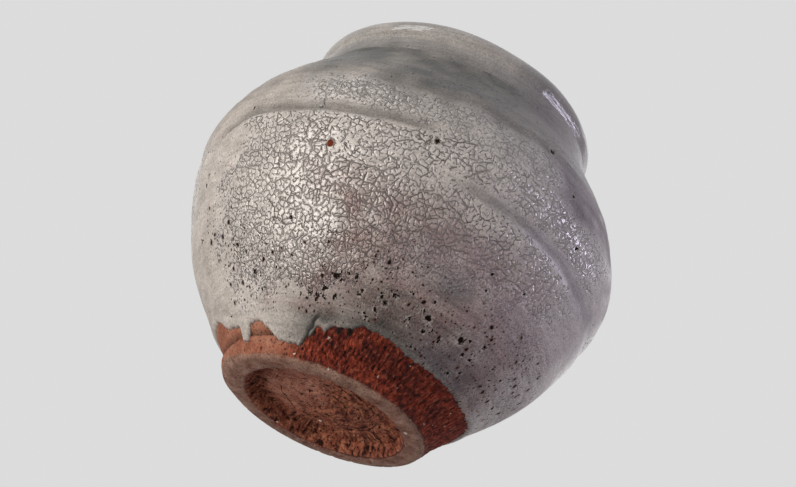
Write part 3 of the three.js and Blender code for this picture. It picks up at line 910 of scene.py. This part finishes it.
rounded = (coat_face - lid_coat_root) * np.sqrt(1 - (1 - from_rim) ** 2) + 0.15 * lumps(x, y, z, 8)
place(lid_coat, angle, wiped, lid_top(wiped) + lid_coat_root + np.where(on_top, rounded, 0))
unroll(lid_coat, x, y)
mark(lid_coat, "crackle", window(radius, 6, 16, 44, 54) * ramp(lumps(x, y, z, 26), -0.4, 0.2))
mark(lid_coat, "pinholes", 0.3 + 0.4 * ramp(lumps(x, y, z, 20), 0, 0.4))
mark(lid_coat, "blush", 0.6 * ramp(radius, 40, 57))
mark(lid_coat, "grey", 0.4 * ramp(lumps(x, y, z, 30), -0.2, 0.4))
mark(lid_coat, "bead", bell(radius, lid_coat_rim - 1, 1))
lid_coat.data.materials.append(crawled)
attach(lid_coat, "lid")
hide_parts("lid_glaze")

# Knob: a button of the same red stoneware, thrown onto the middle of the lid on a short stem.
# It is under its own glaze.
knob_low, knob_high = (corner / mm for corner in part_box("lid_knob"))
knob_stem = 8
knob_swell = 12.5
knob_columns = 96
knob_stem_top = knob_low.z + 3
knob_swell_height = knob_stem_top + 6
knob_crown = knob_high.z - knob_swell_height


def knob_side(off, count):
    """Outline of the knob from the top of its stem out to its swell and over its crown, off its clay."""
    t = np.linspace(0, 1, count)
    side = knob_stem + (knob_swell - knob_stem) * ramp(t, 0, 1) + off
    turned_by = np.linspace(0, math.pi / 2, count)[1:-1]
    swell = list(zip(side, knob_stem_top + (knob_swell_height - knob_stem_top) * t))
    crown = list(zip((knob_swell + off) * np.cos(turned_by),
                     knob_swell_height + (knob_crown + off) * np.sin(turned_by)))
    return swell + crown + [(0, knob_swell_height + knob_crown + off)]


knob_outline = [(0, knob_low.z), (knob_stem, knob_low.z)] + knob_side(0, 12)
knob = turn("lid_button", knob_outline, knob_columns)
knob.data.materials.append(red_clay)
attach(knob, "lid")
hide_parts("lid_knob")

# Knob glaze: the plain grey-white coat, dipped with the lid held upside down.
# It covers the knob from its crown down to just above the lid.
knob_coat_low = knob_low.z + coat_face
knob_coat_columns = 128
knob_coat_outline = knob_side(coat_back, 8)[::-1] + [(knob_stem + coat_back, knob_coat_low)]
knob_coat_outline += [(knob_stem + coat_face, knob_coat_low)] + knob_side(coat_face, 24)
knob_coat = turn("knob_glaze_coat", knob_coat_outline, knob_coat_columns)
angle, radius, z = points_of(knob_coat)
x, y = plan_of(angle, radius)
place(knob_coat, angle, radius * (1 + 0.02 * lumps(x, y, z, 9)), z)
knob_coat.data.materials.append(plain_glaze)
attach(knob_coat, "lid")
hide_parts("knob_glaze")

# Floor: a plain pale sheet under the foot, lit a little from within like a light table, that fades into the
# surround. It is seen only from above, because the camera looks up from below it, and it shades no lamp.
floor_half_width = 3
bm = bmesh.new()
bmesh.ops.create_grid(bm, x_segments=1, y_segments=1, size=floor_half_width)
mesh = bpy.data.meshes.new("floor")
bm.to_mesh(mesh)
bm.free()
floor = bpy.data.objects.new("floor", mesh)
bpy.context.scene.collection.objects.link(floor)
paper, shader, make = material_of("pale paper")
feed(shader, **{"Base Color": "a8a6a2", "Emission Color": "dcdad6", "Emission Strength": 0.55,
                "Roughness": 0.9, "Specular IOR Level": 0.1})
below = make("NewGeometry").outputs["Backfacing"]
from_jar = make("VectorMath", make("TexCoord").outputs["Object"], operation="LENGTH")
fading = make("MapRange", from_jar, 0.25, 0.75, interpolation_type="SMOOTHSTEP")
gone = make("Math", below, fading, operation="MAXIMUM")
one_sided = make("MixShader", gone, shader, make("BsdfTransparent"))
feed(paper.node_tree.nodes["Material Output"], Surface=one_sided)
mesh.materials.append(paper)
floor.visible_shadow = False
floor.visible_diffuse = False
floor.visible_glossy = False

# Backdrop: a pale even surround, seen by the camera and in reflections, and a weaker fill for the rest.
world = bpy.data.worlds.new("studio")
bpy.context.scene.world = world
world.use_nodes = True
rays = add(world, "LightPath").outputs
seen = add(world, "Math", rays["Is Camera Ray"], rays["Is Glossy Ray"], operation="MAXIMUM")
through = add(world, "Math", seen, rays["Is Transmission Ray"], operation="MAXIMUM")
shade = add(world, "Mix", through, "808085", "dcdcdc", data_type="RGBA")
feed(world.node_tree.nodes["Background"], Color=shade)

# Lamps: a soft box and a card above it on the left, a long cool strip and a fill on the right, weak fills
# behind and above, and the light that a white table would throw back from below. Each has its direction from
# the middle of the jar, its distance, width and height in metres, its watts and its colour.
middle = Vector((0, 0, 90 * mm))
lamps = [("left_soft_box", (-0.79, -0.53, -0.34), 1.1, 0.62, 0.9, 10.5, "fffaf4"),
         ("left_card", (-0.62, -0.36, 0.6), 1.1, 0.4, 0.42, 1.8, "ffffff"),
         ("right_strip", (0.92, -0.24, 0.27), 1.1, 0.9, 0.13, 4.2, "ece6ff"),
         ("right_fill", (0.9, -0.2, -0.2), 1.5, 1.4, 1.4, 0.5, "ffffff"),
         ("back_fill", (0.35, 0.85, 0.35), 1.6, 1.8, 1.8, 5, "ffffff"),
         ("top_fill", (0.15, -0.1, 1), 1.2, 0.9, 0.9, 0.6, "ffffff"),
         ("table_bounce", (0.1, -0.5, -1), 1.2, 0.9, 0.9, 1, "fff6ee")]
for name, towards, distance, width, tall, watts, tint in lamps:
    light = bpy.data.lights.new(name, "AREA")
    light.shape = "RECTANGLE"
    light.size, light.size_y = width, tall
    light.energy = watts
    light.color = linear(tint)[:3]
    lamp = bpy.data.objects.new(name, light)
    bpy.context.scene.collection.objects.link(lamp)
    away = Vector(towards).normalized()
    facing = away.to_track_quat("Z", "Y").to_matrix().to_4x4()
    lamp.matrix_world = Matrix.Translation(middle + away * distance) @ facing

# Camera: below the foot and in front, rolled, as the jar was tipped when it was photographed.
look_up = math.radians(29.02)
roll = math.radians(23.736)
aim = Vector((-0.18, 0, 93.36)) * mm
reach = 654 * mm
focal_pixels, frame_pixels, sensor = 1400, 796, 36
back = Vector((0, -math.cos(look_up), -math.sin(look_up)))
level_right, level_up = Vector((1, 0, 0)), Vector((0, -math.sin(look_up), math.cos(look_up)))
image_right = level_right * math.cos(roll) + level_up * math.sin(roll)
image_up = level_up * math.cos(roll) - level_right * math.sin(roll)
lens = bpy.data.cameras.new("camera")
lens.sensor_width = sensor
lens.lens = focal_pixels / frame_pixels * sensor
lens.clip_start = 0.01
camera = bpy.data.objects.new("camera", lens)
bpy.context.scene.collection.objects.link(camera)
facing = Matrix((image_right, image_up, back)).transposed().to_4x4()
camera.matrix_world = Matrix.Translation(aim + back * reach) @ facing
bpy.context.scene.camera = camera
bpy.context.scene.view_settings.view_transform = "Standard"
